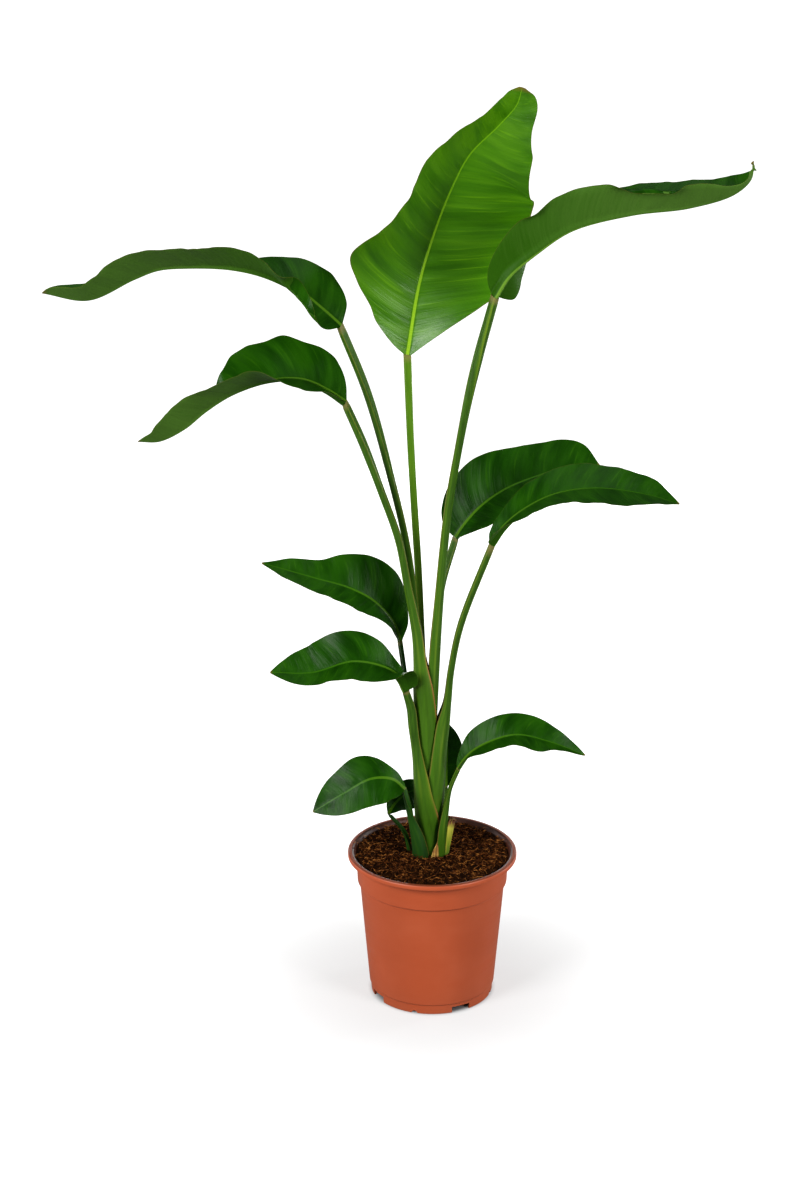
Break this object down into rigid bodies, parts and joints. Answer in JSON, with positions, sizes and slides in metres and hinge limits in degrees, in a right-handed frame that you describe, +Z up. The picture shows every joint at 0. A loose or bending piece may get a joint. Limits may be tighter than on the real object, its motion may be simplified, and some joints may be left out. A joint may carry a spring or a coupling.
{
  "type": "potted white bird of paradise",
  "caption": "White bird of paradise, a fan of broad leaves on long sheathing stalks, standing in soil in a round nursery pot.",
  "frame": {"origin": "middle of the pot's underside, on the surface that the pot stands on", "axes": "+Z up along the pot's axis, -Y towards the viewer, +X to the viewer's right; the leaves fan out along X"},
  "size_m": [0.926, 0.24, 1.2931],
  "materials": {
    "pot": "satin",
    "soil": "matte",
    "leaf": "satin",
    "young_leaf": "satin",
    "stalk": "satin",
    "young_stalk": "satin",
    "cut_stub": "matte",
    "dry_sheath": "matte"
  },
  "bodies": {
    "root": {"pot": "pot", "soil": "soil", "leaf_blade_01": "young_leaf", "leaf_blade_02": "leaf", "leaf_blade_03": "leaf", "leaf_blade_04": "leaf", "leaf_blade_05": "leaf", "leaf_blade_06": "leaf", "leaf_blade_07": "leaf", "leaf_blade_08": "leaf", "leaf_blade_09": "leaf", "leaf_blade_10": "leaf", "leaf_blade_11": "leaf", "leaf_blade_12": "leaf", "leaf_stalk_01": "young_stalk", "leaf_stalk_02": "stalk", "leaf_stalk_03": "stalk", "leaf_stalk_04": "stalk", "leaf_stalk_05": "stalk", "leaf_stalk_06": "stalk", "leaf_stalk_07": "stalk", "leaf_stalk_08": "stalk", "leaf_stalk_09": "stalk", "leaf_stalk_10": "stalk", "leaf_stalk_11": "stalk", "leaf_stalk_12": "stalk", "cut_stub": "cut_stub", "dry_sheath": "dry_sheath"}
  },
  "joints": []
}
